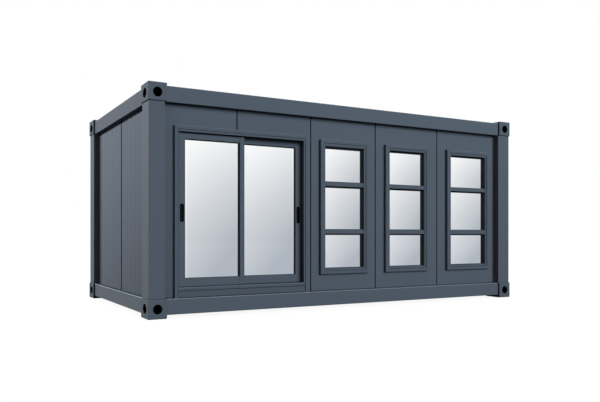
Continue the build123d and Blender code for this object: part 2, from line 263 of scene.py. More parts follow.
def casting_paint():
    """Slate over sand-cast steel, worn on the bevelled edges, and painted black as shade inside the hollow.

    Round the holes in the ends an oval is painted black as shade, wider than the holes, and painted shade
    darkens the back faces near the outside, in the corners where the rails are welded on.
    """
    finish = Finish(bpy.data.materials.new("casting_paint"))
    where, x, y, z = finish.place()
    from_end, from_side = half_length - abs(x), half_width - abs(y)
    from_level = height / 2 - abs(z - height / 2)
    cloud, paint = slate_coat(finish, where, x, z, clouds=6.0, tone=0.96)
    grain = finish.noise(where, 420.0, 3.0)
    from_edge = finish.least(from_end + from_side, from_end + from_level, from_side + from_level)
    worn = (from_edge < 1.1 * casting_bevel) * finish.ease(finish.noise(where, 38.0, 4.0), 0.5, 0.62)
    paint = finish.blend(worn * 0.6, paint, bare_edge)
    paint = painted_light_and_shade(finish, paint, z, highlight_share=0.08, sheen_low=0.67, sheen_high=0.97)
    # Painted shade: a black oval round each hole in the ends.
    rear = y > 0.0
    oval_middle = casting_depth / 2 + oval_shift * finish.math("SIGN", y)
    oval_along = (from_side - oval_middle) / (oval_wide + oval_spread * rear)
    oval_up = (from_level - hole_height - oval_shift * rear) / oval_tall
    outside_oval = finish.ease(oval_along * oval_along + oval_up * oval_up, 0.85, 1.0)
    hole_shade = (1.0 - outside_oval) * (from_end < casting_bevel / 2)
    paint = finish.blend(hole_shade, paint, shade_black)
    # Painted shade on the back faces near the outside, and black inside the hollow.
    from_back = finish.least(casting_length - from_end, casting_depth - from_side)
    outermost = finish.least(from_end, from_side)
    grime_and_shade = (from_back < weld_skin) * (1.0 - finish.ease(outermost, shade_near, shade_far))
    inwards = finish.least(outermost, from_level, from_back)
    bore = finish.ease(inwards, 0.55 * casting_bevel, 0.85 * casting_bevel)
    paint = finish.blend(finish.math("MAXIMUM", bore, grime_and_shade), paint, shade_black)
    return finish.surface(
        base_color=paint,
        roughness=0.55 + 0.12 * grain + 0.3 * bore,
        specular=paint_gloss,
        normal=finish.bump(grain, 0.0006),
    )


cast = casting_paint()
dress(cast, "bottom_corner_castings", "top_corner_castings")


def skin(name, rings, finish, body="cabin", looped=False):
    """Closed strips of quads, joining each ring of points to the next and each point to its neighbour.

    rings counts strips, rings along a strip, points round a ring and x, y, z. A looped strip joins its
    last ring to its first, and any other is closed by a face across its two end rings.
    """
    rings = np.asarray(rings, dtype=float)
    strips, stations, points = rings.shape[:3]
    index = np.arange(strips * stations * points).reshape(strips, stations, points)
    corners = [index, np.roll(index, -1, 2), np.roll(index, (-1, -1), (1, 2)), np.roll(index, -1, 1)]
    quads = np.stack(corners, axis=-1)
    quads = quads if looped else quads[:, :-1]
    faces = quads.reshape(-1, 4).tolist()
    if not looped:
        faces += index[:, 0, ::-1].tolist() + index[:, -1].tolist()
    mesh = bpy.data.meshes.new(name)
    mesh.from_pydata(rings.reshape(-1, 3).tolist(), [], faces)
    outward = bmesh.new()
    outward.from_mesh(mesh)
    bmesh.ops.recalc_face_normals(outward, faces=outward.faces)
    outward.to_mesh(mesh)
    outward.free()
    mesh.materials.append(finish.block)
    piece = bpy.data.objects.new(name, mesh)
    bpy.context.scene.collection.objects.link(piece)
    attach(piece, body)


def drawn(axis, ends, first, second):
    """An outline drawn straight along an axis: one ring of its points at each of two ends.

    first and second are the points' places along the other two axes, in the order of x, y and z.
    """
    rings = np.empty((2, len(first), 3))
    rings[:, :, axis] = np.reshape(ends, (2, 1))
    rings[:, :, [other for other in range(3) if other != axis]] = np.stack([first, second], axis=-1)
    return rings


def casting_webs():
    """A web across each casting's hollow, black as painted shade inside: an upright plate along the diagonal
    from the corner.

    Each is an outline of four points, half a thickness to either side of the diagonal, drawn straight up.
    """
    near, half = casting_wall + web_gap, web_thickness / 2
    far_x, far_y = casting_length - near, casting_depth - near
    from_end = np.array([near + half, far_x, far_x - half, near])
    from_side = np.array([near, far_y - half, far_y, near + half])
    webs = []
    for node in ("bottom_corner_castings", "top_corner_castings"):
        low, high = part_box(node)
        levels = (low.z + 2 * casting_wall, high.z - 2 * casting_wall)
        for side_x in (-1, 1):
            for side_y in (-1, 1):
                x, y = side_x * (half_length - from_end), side_y * (half_width - from_side)
                webs.append(drawn(2, levels, x, y))
    return webs


skin("casting_webs", casting_webs(), cast)

# Rails
# Eight rails bent from steel sheet run between the castings: the top ones hold a gutter, the bottom ones end
# in a lip that carries the joists at front and back. They are sprayed with the castings, but smoother.

lip_tall, lip_thick, lip_root = 0.003, 0.003, 0.004
lip_setback = 0.025


def frame_paint():
    """Slate sprayed on folded sheet: faint clouds, orange peel and a satin gloss."""
    finish = Finish(bpy.data.materials.new("frame_paint"))
    where, x, y, z = finish.place()
    cloud, paint = slate_coat(finish, where, x, z, clouds=1.6)
    peel = finish.noise(where, 260.0)
    return finish.surface(
        base_color=painted_light_and_shade(finish, paint, z, highlight_share=0.8, sheen_low=0.69, sheen_high=0.98),
        roughness=0.46 + 0.12 * cloud,
        specular=paint_gloss,
        normal=finish.bump(peel, 0.0003),
    )


rails = ("front_top_rail", "back_top_rail", "end_top_rails")
rails += ("front_bottom_rail", "back_bottom_rail", "end_bottom_rails")
sprayed = frame_paint()
dress(sprayed, *rails)


def strip(x, y, z):
    """A straight strip between pairs of x, y and z: a rectangle in y and z, drawn along x."""
    return drawn(0, x, np.repeat(y, 2), np.take(z, [0, 1, 1, 0]))


def drip_lips():
    """A thin lip along the foot of each end's top rail, a small strip from casting to casting."""
    rail_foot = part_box("end_top_rails")[0].z
    outer, inner = half_length - lip_setback, half_length - lip_setback - lip_thick
    along = (casting_depth - half_width, half_width - casting_depth)
    up = (rail_foot - lip_tall, rail_foot + lip_root)
    return [strip((side * outer, side * inner), along, up) for side in (-1, 1)]


skin("drip_lips", drip_lips(), sprayed)

# Corner posts
# Folded steel posts stand between the castings, with returns that reach in to the wall panels.
# The returns lie in the shelter of the rails and are painted a paler neutral grey as the tone of their
# shade, and thin black beads round each post's ends are painted shade.

post_setback = 0.012
post_end, right_post_end, end_post_end = 0.215, 0.25, 0.26
shelter_start, shelter_end = post_setback + 0.008, post_setback + 0.03
# A paler neutral grey painted on the posts' returns as the tone of their shade.
return_shade_grey = shade(95, 97, 100)
bead_proud, bead_tall = 0.002, 0.0018
bead_root, bead_short = 0.001, 0.004


def post_paint():
    """The frame's slate, rough on the sheltered returns and painted there a paler neutral grey as the tone
    of their shade.
    """
    finish = Finish(bpy.data.materials.new("post_paint"))
    where, x, y, z = finish.place()
    cloud, paint = slate_coat(finish, where, x, z, clouds=1.6)
    peel = finish.noise(where, 260.0)
    shaded_returns = finish.ease(depth_from_outside(finish, x, y), shelter_start, shelter_end)
    paint = painted_light_and_shade(finish, paint, z, highlight_share=0.3, sheen_low=0.635, sheen_high=1.12)
    return finish.surface(
        base_color=finish.blend(shaded_returns, paint, return_shade_grey),
        roughness=0.46 + 0.12 * cloud + 0.2 * shaded_returns,
        specular=paint_gloss,
        normal=finish.bump(peel, 0.0003),
    )


dress(post_paint(), "front_left_post", "front_right_post", "back_left_post", "back_right_post")


def black_rubber():
    """Black sealing rubber, greyed a little by dust; also used for black strips that are painted shade."""
    finish = Finish(bpy.data.materials.new("black_rubber"))
    where = finish.place()[0]
    dust = finish.noise(where, 14.0, 4.0)
    grain = finish.noise(where, 700.0)
    return finish.surface(
        base_color=finish.blend(dust, shade(9, 10, 11), shade(17, 18, 20)),
        roughness=0.62 + 0.2 * dust,
        specular=0.0,
        normal=finish.bump(grain, 0.0002),
    )


def post_shade_beads():
    """Black beads round the outer faces of each post, under its upper casting and over its lower one, as
    painted shade.

    Each is a small rectangle swept along an L: from one edge of the post, round its corner, to the other.
    """
    inner, outer = post_setback + bead_root, post_setback - bead_proud
    depth = np.array([inner, outer, outer, inner])
    far_y = np.full_like(depth, end_post_end - bead_short)
    post_low, post_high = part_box("front_left_post")
    beads = []
    for side_x, edge in ((-1, post_end), (1, right_post_end)):
        far_x = np.full_like(depth, edge - bead_short)
        x = side_x * (half_length - np.stack([far_x, depth, depth]))
        for side_y in (-1, 1):
            y = side_y * (half_width - np.stack([depth, depth, far_y]))
            for foot in (post_low.z, post_high.z - bead_tall):
                z = np.broadcast_to(foot + bead_tall * np.array([0, 0, 1, 1]), x.shape)
                beads.append(np.stack([x, y, z], axis=-1))
    return beads


seal_and_shade_rubber = black_rubber()
skin("post_shade_beads", post_shade_beads(), seal_and_shade_rubber)

# Floor
# A plywood deck, waxed and laid in sheets with tight joints, rests on hollow galvanised joists
# that hang between the lips of the long bottom rails.

ply_wide, ply_long = 1.22, 2.44
ply_joint = 0.002


def floor_sheet():
    """Plywood with grain along the cabin, and a dark joint at each sheet's edge."""
    finish = Finish(bpy.data.materials.new("floor_sheet"))
    where, x, y, z = finish.place()
    rings = finish.noise(finish.stretched(where, 1.2, 26.0, 1.0), 1.0, 6.0)
    fibre = finish.noise(finish.stretched(where, 12.0, 420.0, 1.0), 1.0, 3.0)
    wood = finish.blend(finish.ease(rings, 0.35, 0.7), shade(171, 136, 96), shade(134, 99, 65))
    wood = finish.blend(fibre * 0.35, wood, shade(112, 82, 54))
    from_end = finish.math("FLOORED_MODULO", x, ply_long)
    from_side = finish.math("FLOORED_MODULO", y, ply_wide)
    joint = finish.math("MAXIMUM", from_end < ply_joint, from_side < ply_joint)
    wood = finish.blend(joint, wood, shade(52, 40, 30))
    return finish.surface(
        base_color=wood,
        roughness=0.42 + 0.2 * fibre,
        specular=0.35,
        normal=finish.bump(fibre - joint, 0.0006),
    )


def joist_zinc():
    """Galvanised steel: flat crystals of zinc that each lie a little lighter or darker."""
    finish = Finish(bpy.data.materials.new("joist_zinc"))
    where = finish.place()[0]
    crystals = finish.node("TexVoronoi", {}, {"Vector": where, "Scale": 55.0}, "Color")
    tone = finish.node("SeparateColor", {}, {0: crystals})
    return finish.surface(
        base_color=finish.blend(tone, shade(158, 162, 165), shade(186, 189, 191)),
        metallic=0.9,
        roughness=0.38 + 0.14 * tone,
    )


zinc = joist_zinc()
dress(floor_sheet(), "floor_deck")
dress(zinc, "floor_joists")

# Wall panels
# Sandwich boards of painted steel over foam stand in the frame, smooth at the front and micro-ribbed on
# the ends and the back. Black sealant fills their rebated seams, and their inner faces are white.

wall_setback = 0.1
wall_low, wall_high = 0.232, 2.577
panel_thickness = 0.075
seam_width, seam_depth = 0.016, 0.014
face_skin = 0.0003
shade_start, shade_end = post_end + 0.03, post_end + 0.3
seal_black = shade(17, 19, 21)
lining_white = shade(226, 226, 222)


def panel_paint():
    """Slate outside, sealant in the seams and white inside, told apart by depth from the outside.

    Painted shade darkens the corner by the left post, and most so at its foot.
    """
    finish = Finish(bpy.data.materials.new("panel_paint"))
    where, x, y, z = finish.place()
    cloud, paint = slate_coat(finish, where, x, z, clouds=0.9)
    peel = finish.noise(where, 300.0)
    depth = depth_from_outside(finish, x, y)
    corner = 1.0 - finish.ease(half_length + x, shade_start, shade_end)
    paint = finish.blend(corner * (0.36 - 0.2 * z / height), paint, scaled(slate, 0.5))
    paint = finish.blend(depth > wall_setback + face_skin, paint, seal_black)
    paint = finish.blend(depth > wall_setback + 0.98 * panel_thickness, paint, lining_white)
    return finish.surface(
        base_color=paint,
        roughness=0.48 + 0.12 * cloud,
        specular=paint_gloss,
        normal=finish.bump(peel, 0.00025),
    )


panel_names = [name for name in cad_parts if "_panel" in name]
dress(panel_paint(), *panel_names)

edge_gap = 0.001
sheet_levels = (wall_low + edge_gap, wall_high - edge_gap)
rib_pitch = 0.175
rib_shares = np.array([0.0, 0.44, 0.5, 0.94])
rib_base, rib_rise = 0.0004, 0.0028
# How far the painted shade reaches from the rear posts.
corner_shade_reach = 0.23


def rib_paint():
    """The ribbed sheets' paint: a matt pale grey as a painted sheen, paler towards the top and the back as
    painted light.

    Painted shade darkens the low flats between the ribs, and the corners by the rear posts.
    """
    finish = Finish(bpy.data.materials.new("rib_paint"))
    where, x, y, z = finish.place()
    cloud = finish.noise(where, 0.9, 3.0)
    peel = finish.noise(where, 300.0)
    painted_light_fall = 0.7 * z / height + 0.3 * (half_width + y) / (2 * half_width)
    paint = finish.blend(painted_light_fall, scaled(end_sheen_grey, 0.6), scaled(end_sheen_grey, 1.6))
    paint = finish.blend(cloud * 0.2, paint, scaled(end_sheen_grey, 0.9))
    valley_floor = wall_setback - rib_base
    valley_shade = finish.ease(depth_from_outside(finish, x, y), valley_floor - rib_rise, valley_floor)
    paint = finish.blend(valley_shade * 0.06, paint, scaled(end_sheen_grey, 0.4))
    corner = 1.0 - finish.ease(half_width - end_post_end - y, 0.0, corner_shade_reach)
    rear_corner_shade = corner * (half_length - abs(x) < wall_setback)
    return finish.surface(
        base_color=finish.blend(rear_corner_shade * 0.66, paint, shade_black),
        roughness=0.6 + 0.12 * cloud,
        specular=0.0,
        normal=finish.bump(peel, 0.00025),
    )


def ribbed_sheet(panel):
    """The outer sheet of one panel: a wave of flat ribs along the wall, drawn straight up.

    Each pitch of the wave is a low flat, a short slope, a high flat and a slope back; a straight line
    just inside the panel's face closes it behind.
    """
    low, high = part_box(panel)
    at_end = high.x - low.x < 2 * panel_thickness
    axis, reach, outside = (1, half_width, half_length) if at_end else (0, half_length, half_width)
    near_post, far_post = (end_post_end, end_post_end) if at_end else (post_end, right_post_end)
    start = max(low[axis] + seam_width / 2, near_post - reach) + edge_gap
    end = min(high[axis] - seam_width / 2, reach - far_post) - edge_gap
    count = round((end - start) / rib_pitch)
    rises = np.array([0.0, 0.0, rib_rise, rib_rise]) + rib_base
    along = start + (np.arange(count)[:, None] + rib_shares).ravel() * (end - start) / count
    along = np.concatenate([along, [end, end, start]])
    out = np.concatenate([np.tile(rises, count), [rib_base, -edge_gap, -edge_gap]])
    face = np.sign(low[1 - axis]) * (outside - wall_setback + out)
    plan = (face, along) if at_end else (along, face)
    return [drawn(2, sheet_levels, *plan)]


end_sheen_paint = rib_paint()
for panel in panel_names:
    if not panel.startswith("front"):
        skin(f"{panel}_ribs", ribbed_sheet(panel), end_sheen_paint)


def seam_beads(seams, face):
    """Half-round beads of sealant in upright seams: an arc over the seam's floor, drawn straight up.

    seams holds a place along the wall and two levels for each bead, and face the seam floor's place.
    """
    turn = np.linspace(0.0, np.pi, 7)
    across = 0.5 * seam_width * np.cos(turn)
    out = 0.55 * seam_depth * np.sin(turn) * np.sign(face)
    return [drawn(2, levels, place + across, face + out) for place, levels in seams]


seam_floor = half_width - wall_setback - seam_depth
front_seams = [(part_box(f"front_window_panel_{number}")[0].x, sheet_levels) for number in (1, 2, 3)]
over_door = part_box("front_panel_over_door_right")[0]
front_seams.append((over_door.x, (over_door.z, sheet_levels[1])))
back_starts = sorted(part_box(name)[0].x for name in panel_names if name.startswith("back"))
back_seams = [(place, sheet_levels) for place in back_starts[1:]]
beads = seam_beads(front_seams, -seam_floor) + seam_beads(back_seams, seam_floor)
skin("seam_beads", beads, seal_and_shade_rubber)

cover_proud = 0.0045
cover_half = 0.012
seal_start, seal_end = -4 * cover_half, -cover_half - 0.0002


def end_strips(start, end):
    """An upright strip on each end of the cabin, between two places along that end."""
    face = half_length - wall_setback
    near, far = face + rib_base, face + cover_proud
    return [strip((side * near, side * far), (start, end), sheet_levels) for side in (-1, 1)]


skin("end_covers", end_strips(-cover_half, cover_half), end_sheen_paint)
skin("end_strips", end_strips(seal_start, seal_end), seal_and_shade_rubber)

# Roof
# One insulated deck of ribbed steel, slate above and white below, lies on the top rails' flanges.
# Rain leaves it along the ribs into the gutters, and capped screws hold the sheet down.

roof_low, roof_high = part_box("roof_deck")
roof_rib_count = 18
roof_gap, ceiling_skin = 0.003, 0.002
roof_rib_run = 2 * (half_length - casting_length - roof_gap)
screw_rows, screw_inset = 5, 0.1
screw_radii = np.array([0.011, 0.011, 0.0065, 0.0065, 0.004])
screw_rises = np.array([-0.001, 0.002, 0.0025, 0.0075, 0.0085])
screw_sides = 12


def roof_paint():
    """Slate with a bloom of dust between the ribs, and white on the ceiling underneath."""
    finish = Finish(bpy.data.materials.new("roof_paint"))
    where, x, y, z = finish.place()
    cloud = finish.noise(where, 2.2, 4.0)
    peel = finish.noise(where, 260.0)
    paint = finish.blend(cloud, scaled(slate, 0.94), scaled(slate, 1.06))
    dust = finish.ease(roof_high.z - z, 0.015, 0.035) * finish.ease(cloud, 0.4, 0.7)
    paint = finish.blend(dust * 0.14, paint, shade(126, 128, 128))
    paint = finish.blend(z < roof_low.z + ceiling_skin, paint, lining_white)
    return finish.surface(
        base_color=paint,
        roughness=0.5 + 0.14 * cloud,
        specular=0.2,
        normal=finish.bump(peel, 0.0003),
    )


dress(roof_paint(), "roof_deck")


def roof_screws():
    """Capped screws along the roof's ribs: a washer, a round head and a shallow cap.

    Each is a stack of twelve-sided rings, by radius and height, set at a grid of places.
    """
    turn = np.arange(screw_sides) * 2 * np.pi / screw_sides
    screw = np.empty((len(screw_radii), screw_sides, 3))
    screw[:, :, :2] = screw_radii[:, None, None] * np.stack([np.cos(turn), np.sin(turn)], axis=-1)
    screw[:, :, 2] = screw_rises[:, None]
    across = (np.arange(roof_rib_count) - (roof_rib_count - 1) / 2) * roof_rib_run / roof_rib_count
    along = np.linspace(roof_low.y + screw_inset, roof_high.y - screw_inset, screw_rows)
    places = np.stack(np.meshgrid(across, along, [roof_high.z]), axis=-1)
    return screw + places.reshape(-1, 1, 1, 3)


skin("roof_screws", roof_screws(), zinc)

# Sliding door frame
# Aluminium mouldings and linings, mitred at the head and powder coated slate, with two channels for the
# sashes, and a threshold with a nose, a riser and two track ribs. Thin covers finish the threshold's face.


def joinery_paint(name, tone):
    """Powder coat: an even slate with a very fine texture, at a given tone, with a painted highlight on
    slopes.
    """
    finish = Finish(bpy.data.materials.new(name))
    where, x, y, z = finish.place()
    cloud, paint = slate_coat(finish, where, x, z, clouds=2.4, tone=tone)
    powder = finish.noise(where, 900.0)
    upwards = finish.facing()[1]
    return finish.surface(
        base_color=finish.blend(sloped(finish, upwards) * 0.2, paint, highlight_pale),
        roughness=0.5 + 0.1 * cloud,
        specular=paint_gloss,
        normal=finish.bump(powder, 0.00015),
    )


coated = joinery_paint("joinery_paint", 0.95)
dress(coated, "door_jambs", "door_head")
# The threshold's coat is a darker copy, painted shade under the nose.
shaded_threshold_coat = joinery_paint("threshold_paint", 0.88)
dress(shaded_threshold_coat, "door_threshold")

trim_front = -half_width + 0.06
trim_step = 0.008
trim_lip = trim_front + trim_step
door_band, door_trim = 0.043, 0.065
door_low, door_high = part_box("door_jambs")[0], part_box("door_head")[1]
step_proud, step_root = 0.002, 0.0005


def swept(low, high, profile):
    """Rings of a profile swept round an upright rectangle, one ring to a corner and mitred there.

    Each row of the profile holds the steps inwards from the left, the right, the head and the foot of the
    rectangle, and a depth.
    """
    left, right, head, foot, depth = np.asarray(profile, dtype=float).T
    left, right, top, foot = low.x + left, high.x - right, high.z - head, low.z + foot
    ends = [(left, foot), (left, top), (right, top), (right, foot)]
    return np.stack([np.stack([across, depth, up], axis=-1) for across, up in ends])


def step_shade_bead(low, high, band, left, others, below):
    """A dark bead in the corner between a moulding's band and its lip, as painted shade, round its opening
    and below or not.

    left is its width along the left side, and others its width elsewhere.
    """
    shares = np.array([0.0, 0.0, 0.4, 1.0, 1.0])
    depths = trim_lip + np.array([step_root, -step_proud, -step_proud, -0.3 * step_proud, step_root])
    broad, narrow = band - step_root + left * shares, band - step_root + others * shares
    foot = narrow if below else np.full_like(shares, edge_gap)
    return swept(low, high, np.stack([broad, narrow, narrow, foot, depths], axis=-1))


# A darker copy of the coat, for the door's bead of painted shade.
shaded_coat = joinery_paint("shaded_coat", 0.45)
door_shade_bead = step_shade_bead(door_low, door_high, door_band, left=0.009, others=0.003, below=False)
skin("door_shade_bead", [door_shade_bead], shaded_coat)

head_level = door_high.z - door_trim
head_run = (door_low.x + door_band + edge_gap, door_high.x - door_trim - edge_gap)
head_depths = (trim_lip - 0.0015, trim_front + 0.024)
carrier_levels = (head_level - 0.006, head_level + 0.001)
shade_strip_levels = (head_level - 0.018, head_level - 0.006)
skin("head_carrier", [strip(head_run, head_depths, carrier_levels)], coated)
# A black strip under the head's lip is painted shade.
skin("head_shade_strip", [strip(head_run, head_depths, shade_strip_levels)], seal_and_shade_rubber)

nose_low, nose_high = 0.32, 0.362
riser_low = wall_low + 0.002
nose_shadow_tall, nose_shadow_gap = 0.0055, 0.0001
cover_short = 0.0055
cover_run = (door_low.x + door_band + cover_short, door_high.x - door_band - cover_short)
nose_depths = (trim_lip - 0.0028, trim_lip - 0.0002)
riser_depths = (trim_lip - 0.001, trim_lip + 0.0004)
nose_shadow_depths = (trim_lip - 0.0009, trim_lip + 0.0004)
nose_front_depths = (trim_lip - 0.0038, trim_lip - 0.0029)
threshold_covers = [
    strip(cover_run, nose_depths, (nose_low, nose_high - 0.0005)),
    strip(cover_run, riser_depths, (riser_low, nose_low - nose_shadow_tall - nose_shadow_gap)),
]
# Painted shadow: a black strip under the nose.
nose_shadow_strip = strip(cover_run, nose_shadow_depths, (nose_low - nose_shadow_tall, nose_low))
# Painted highlight: a pale strip on the nose's front.
nose_highlight_strip = strip(cover_run, nose_front_depths, (nose_high - 0.0105, nose_high - 0.0031))
# Painted shade: a black line along the top of the nose.
nose_shade_line = strip(cover_run, nose_front_depths, (nose_high - 0.003, nose_high - 0.0003))
skin("threshold_covers", threshold_covers, shaded_threshold_coat)
skin("nose_shadow_strip", [nose_shadow_strip], seal_and_shade_rubber)
skin("nose_highlight_strip", [nose_highlight_strip], joinery_paint("nose_highlight_coat", 1.75))
skin("nose_shade_line", [nose_shade_line], seal_and_shade_rubber)

gap_depths = (trim_lip - 0.0035, trim_lip + 0.0005)
gap_near, gap_far = 0.0002, 0.0054
foot_levels = (wall_low + 0.0055, wall_low + 0.0085)
foot_proud, foot_root, foot_short = 0.002, 0.0003, 0.0005


def end_gaps():
    """Upright strips of sealant at both ends of the riser's cover, from the rail to the nose."""
    strips = []
    for edge, side in ((door_low.x + door_band, 1), (door_high.x - door_band, -1)):
        across = (edge + side * gap_near, edge + side * gap_far)
        strips.append(strip(across, gap_depths, (riser_low, nose_low)))
    return strips


def foot_shade_beads():
    """Black strips over the rail as painted shade, along the feet of the front's panels and of the riser's
    cover.
    """
    panel_face = wall_setback - half_width
    runs = [
        (post_end - half_length + edge_gap, door_low.x - edge_gap, panel_face),
        (cover_run[0] + foot_short, cover_run[1] - foot_short, riser_depths[0]),
        (door_high.x + edge_gap, half_length - right_post_end - edge_gap, panel_face),
    ]
    strips = []
    for start, end, face in runs:
        strips.append(strip((start, end), (face - foot_proud, face + foot_root), foot_levels))
    return strips


skin("end_gaps", end_gaps(), seal_and_shade_rubber)
skin("foot_shade_beads", foot_shade_beads(), seal_and_shade_rubber)

# Sashes
# Two glazed leaves of the same aluminium, on nylon rollers. Each has a reflecting pane, dark glazing
# gaskets and a flush pull of black plastic let into its outer stile.

# Tones of the glass's painted reflection, and the width of its painted highlight at the sides.
reflection_light = shade(253, 254, 254)
reflection_middle = shade(209, 213, 218)
reflection_dark = shade(172, 179, 188)
highlight_margin = 0.04


def reflecting_glass(name, columns, rows, down_share, across_share):
    """Mirror glass with a painted reflection that darkens from each pane's upper left to its lower right.

    columns holds the left and right edges of the panes from left to right, and rows their heads and feet
    from the top down; the painted reflection is a little darker in each lower row, and lighter along a
    pane's sides as a painted highlight.
    """
    finish = Finish(bpy.data.materials.new(name))
    where, x, y, z = finish.place()
    left, wide = columns[0][0], columns[0][1] - columns[0][0]
    for before, after in zip(columns, columns[1:]):
        beyond = x > (before[1] + after[0]) / 2
        left = (after[0] - before[0]) * beyond + left
        wide = (after[1] - after[0] - before[1] + before[0]) * beyond + wide
    head, tall, row = rows[0][0], rows[0][0] - rows[0][1], 0.0
    for before, after in zip(rows, rows[1:]):
        beyond = z < (before[1] + after[0]) / 2
        head = (after[0] - before[0]) * beyond + head
        tall = (after[0] - after[1] - before[0] + before[1]) * beyond + tall
        row = beyond + row
    across = (x - left) / wide
    down = finish.math("POWER", finish.math("MAXIMUM", (head - z) / tall, 0.0), 0.88)
    ripple = finish.noise(where, 1.4)
    reflection_fall = down_share * down + across_share * across + 0.14 * across * down + 0.165 * row
    reflection_fall = reflection_fall + 0.03 * (ripple - 0.5)
    from_edge = 0.5 * wide - abs(x - left - 0.5 * wide)
    reflection_fall = reflection_fall - 0.12 * (1.0 - finish.ease(from_edge, 0.8 * highlight_margin, highlight_margin))
    upper = finish.blend(2.0 * reflection_fall, reflection_light, reflection_middle)
    coating = finish.blend((reflection_fall - 0.5) / 0.4, upper, reflection_dark)
    return finish.surface(base_color=coating, metallic=1.0, roughness=0.06)


def pull_plastic():
    """Black moulded plastic with a spark-eroded grain."""
    finish = Finish(bpy.data.materials.new("pull_plastic"))
    where = finish.place()[0]
    grain = finish.noise(where, 1400.0)
    return finish.surface(
        base_color=finish.blend(grain, shade(12, 13, 14), shade(20, 21, 22)),
        roughness=0.42 + 0.16 * grain,
        specular=paint_gloss,
        normal=finish.bump(grain, 0.0002),
    )


def roller_nylon():
    """Dark filled nylon, greyed by the track."""
    finish = Finish(bpy.data.materials.new("roller_nylon"))
    where = finish.place()[0]
    grime_and_shade = finish.noise(where, 90.0, 3.0)
    return finish.surface(
        base_color=finish.blend(grime_and_shade, shade(44, 45, 46), shade(70, 70, 69)),
        roughness=0.35 + 0.2 * grime_and_shade,
    )


def gasket_rubber():
    """Dark grey glazing rubber, paler where it lines the sides of a light."""
    finish = Finish(bpy.data.materials.new("gasket_rubber"))
    where = finish.place()[0]
    dust = finish.noise(where, 14.0, 4.0)
    endwards = finish.facing()[0]
    lips = finish.blend(dust, shade(34, 37, 40), shade(44, 47, 51))
    return finish.surface(
        base_color=finish.blend(finish.ease(abs(endwards), 0.6, 0.9), lips, shade(84, 92, 101)),
        roughness=0.62 + 0.2 * dust,
        specular=0.0,
    )


lining_thin, lining_outside = 0.0025, -0.0005
lip_deep = 0.006


def pane_gasket(low, high, reach, seat, left, right, head):
    """A rubber lining of a light's edge, from near the frame's face to a wider lip against the pane.

    reach is how far the lining stands out from the pane at seat, and its sign tells which way. The lip is
    as wide as left, right and head, where its dark grey is painted shade, and thin below.
    """
    lip = lip_deep * np.sign(reach)
    outside, thin = [lining_outside] * 4, [lining_thin] * 4
    profile = [
        (*outside, seat),
        (*outside, seat + reach),
        (*thin, seat + reach),
        (*thin, seat + 1.6 * lip),
        (left, right, head, lining_thin, seat + 0.5 * lip),
        (left, right, head, lining_thin, seat),
    ]
    return swept(low, high, profile)


sash_glass_recess, sash_glass_back = 0.02, 0.01
gasket_short = 0.003
inner_lip = 0.006
plastic, nylon, gasket_and_shade = pull_plastic(), roller_nylon(), gasket_rubber()
# The sash panes' lips at the head and right are widened as painted shade.
for hand, lip in (("left", 0.022), ("right", 0.017)):
    low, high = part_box(f"{hand}_sash_glass")
    gaskets = [
        pane_gasket(low, high, gasket_short - sash_glass_recess, low.y, left=0.008, right=lip, head=0.013),
        pane_gasket(low, high, sash_glass_back - gasket_short, high.y, inner_lip, inner_lip, inner_lip),
    ]
    skin(f"{hand}_sash_gaskets", gaskets, gasket_and_shade, f"{hand}_sash", looped=True)
    dress(coated, f"{hand}_sash_frame")
    glass = reflecting_glass(f"{hand}_sash_glass", [(low.x, high.x)], [(high.z, low.z)], 0.73, 0.22)
    dress(glass, f"{hand}_sash_glass")
    dress(plastic, f"{hand}_sash_pull")
    dress(nylon, f"{hand}_sash_rollers")


def stile_strip(left, right, proud):
    """An upright strip on the left sash's meeting stile; left and right count from the stile's edge."""
    low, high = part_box("left_sash_frame")
    levels = (low.z + 0.004, head_level - 0.02)
    return strip((high.x + left, high.x + right), (low.y - proud, low.y + 0.0005), levels)


interlock_left, interlock_right = -0.0585, 0.002
shade_line_proud = 0.002
# Two thin black lines at the edges of the interlock are painted shade.
stile_shade_lines = [
    stile_strip(interlock_left - 0.0013, interlock_left - 0.0001, shade_line_proud),
    stile_strip(interlock_right + 0.0001, interlock_right + 0.0022, shade_line_proud),
]
interlock = stile_strip(interlock_left, interlock_right, 0.003)
skin("left_sash_interlock", [interlock], coated, "left_sash")
skin("left_sash_shade_lines", stile_shade_lines, seal_and_shade_rubber, "left_sash")

# Windows
# Three tall frames with a bevelled moulding, a lip and two cross bars, coated like the door.
# Each of their lights holds a reflecting pane in a dark gasket, on a sloped glazing bead.

window_names = [f"window_frame_{number}" for number in (1, 2, 3)]
window_band, window_trim = 0.046, 0.078
window_bar = 0.052
light_shares = np.array([0.303, 0.382, 0.315])
dress(coated, *window_names)
pane_low, pane_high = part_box("window_panes")
window_boxes = [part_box(name) for name in window_names]
columns = [(low.x + window_trim, high.x - window_trim) for low, high in window_boxes]
light_heights = light_shares * (pane_high.z - pane_low.z - 2 * window_bar)
light_feet = pane_low.z + np.concatenate([[0.0], np.cumsum(light_heights + window_bar)[:-1]])
rows = list(zip((light_feet + light_heights).tolist(), light_feet.tolist()))[::-1]
dress(reflecting_glass("window_glass", columns, rows, 0.29, 0.34), "window_panes")

